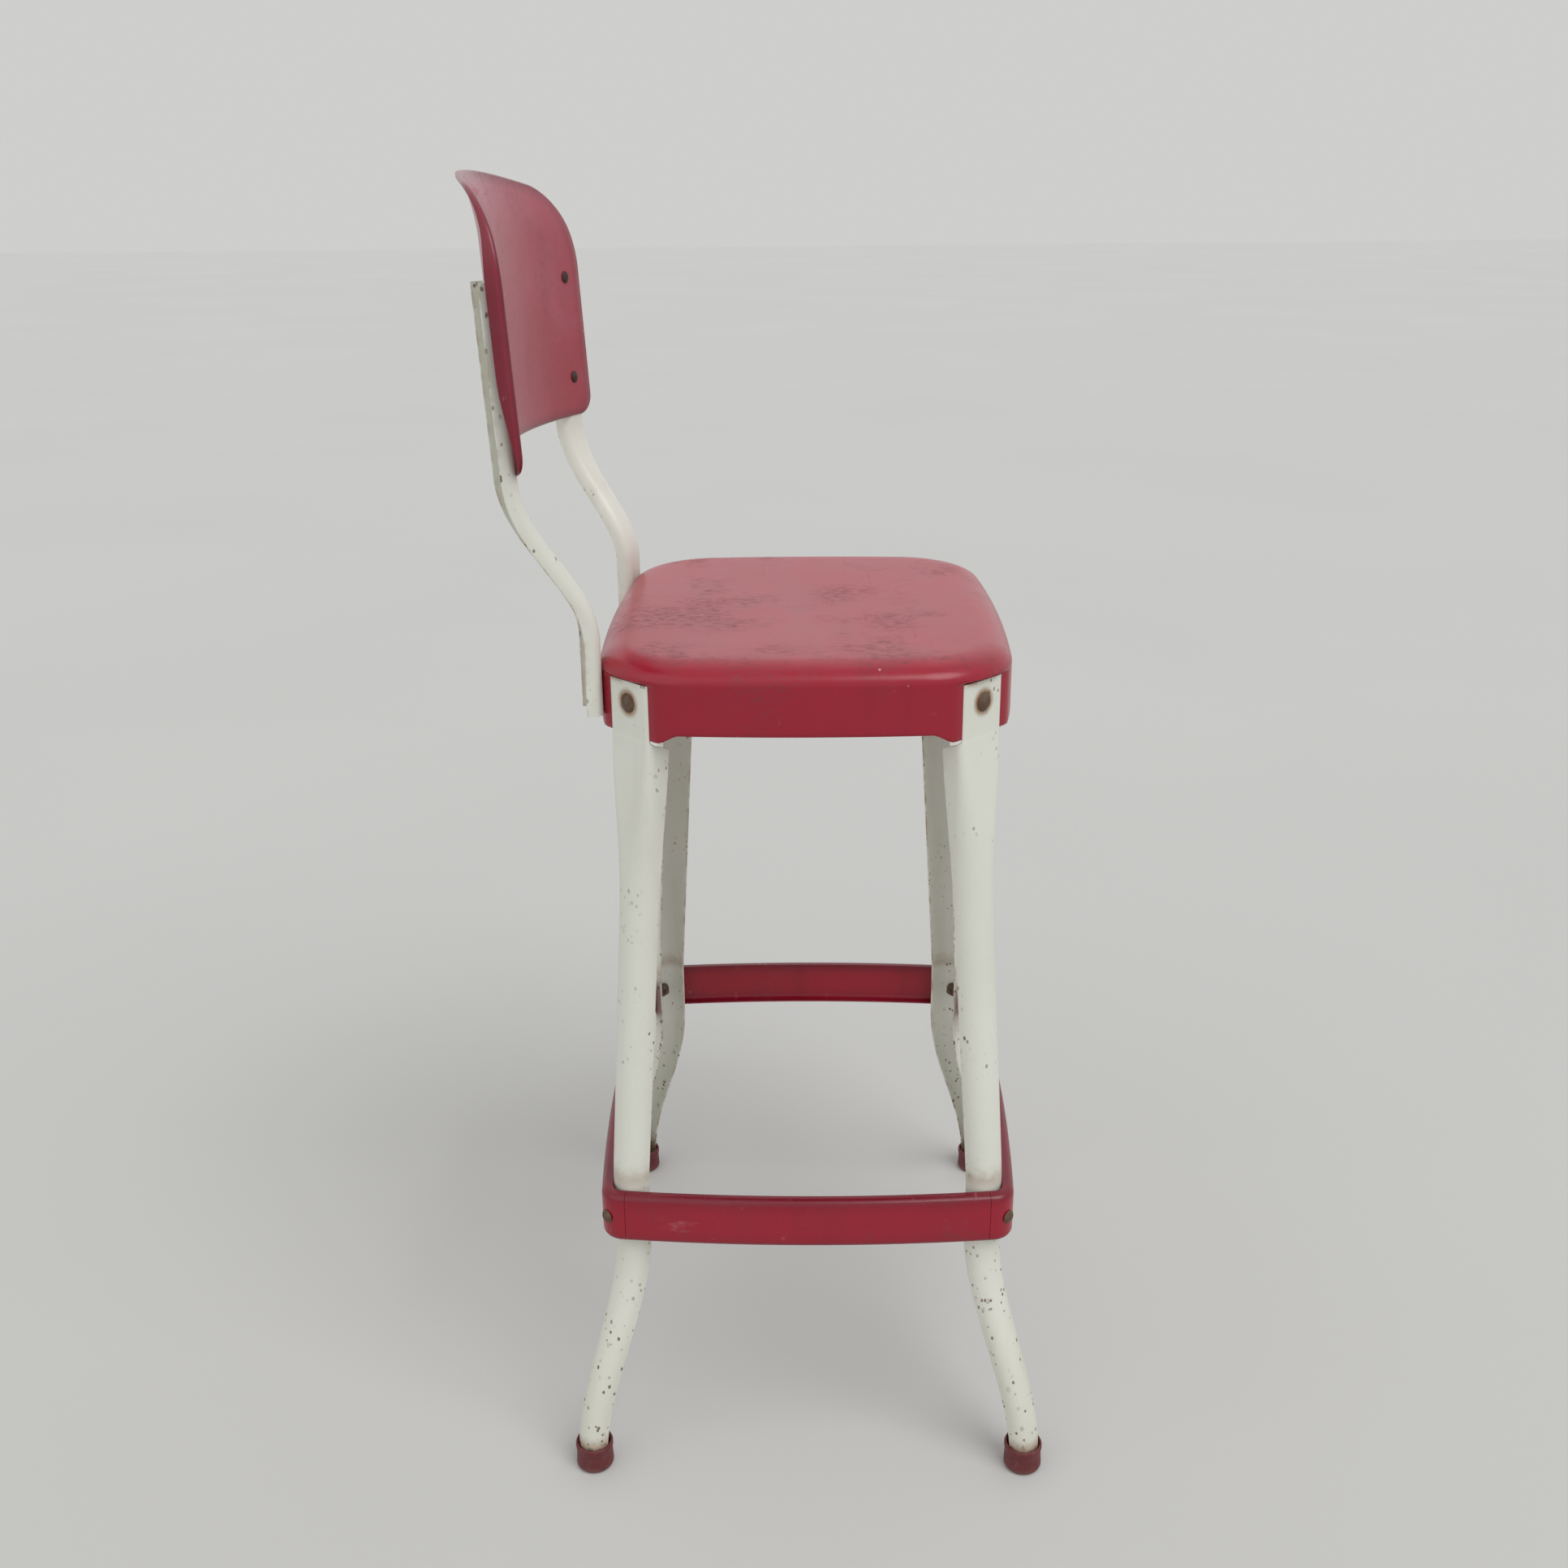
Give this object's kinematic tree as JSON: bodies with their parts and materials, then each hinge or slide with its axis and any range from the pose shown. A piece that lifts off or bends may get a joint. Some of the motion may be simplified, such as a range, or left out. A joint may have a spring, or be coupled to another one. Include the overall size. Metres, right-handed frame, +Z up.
{
  "type": "bar stool",
  "caption": "Pressed-steel counter stool with a low curved back, channel legs, a foot ring and rubber tips, for sitting at a counter.",
  "frame": {"origin": "on the floor, at the middle of the stool's overall box", "axes": "+Z up, -Y the way the sitter faces, +X the sitter's left hand"},
  "size_m": [0.4142, 0.411, 0.905],
  "materials": {
    "red_enamel": "gloss",
    "cream_enamel": "gloss",
    "fastener_steel": "dull",
    "red_rubber": "matte"
  },
  "bodies": {
    "root": {"seat_pan": "red_enamel", "back_panel": "red_enamel", "back_upright_left": "cream_enamel", "back_upright_right": "cream_enamel", "leg_front_left": "cream_enamel", "leg_front_right": "cream_enamel", "leg_rear_left": "cream_enamel", "leg_rear_right": "cream_enamel", "foot_rail_front": "red_enamel", "foot_rail_rear": "red_enamel", "foot_rail_left": "red_enamel", "foot_rail_right": "red_enamel", "foot_tip_front_left": "red_rubber", "foot_tip_front_right": "red_rubber", "foot_tip_rear_left": "red_rubber", "foot_tip_rear_right": "red_rubber", "leg_rivets": "fastener_steel", "rail_bolts": "fastener_steel", "rail_nuts": "fastener_steel", "back_rivets": "fastener_steel", "upright_rivets": "fastener_steel"}
  },
  "joints": []
}
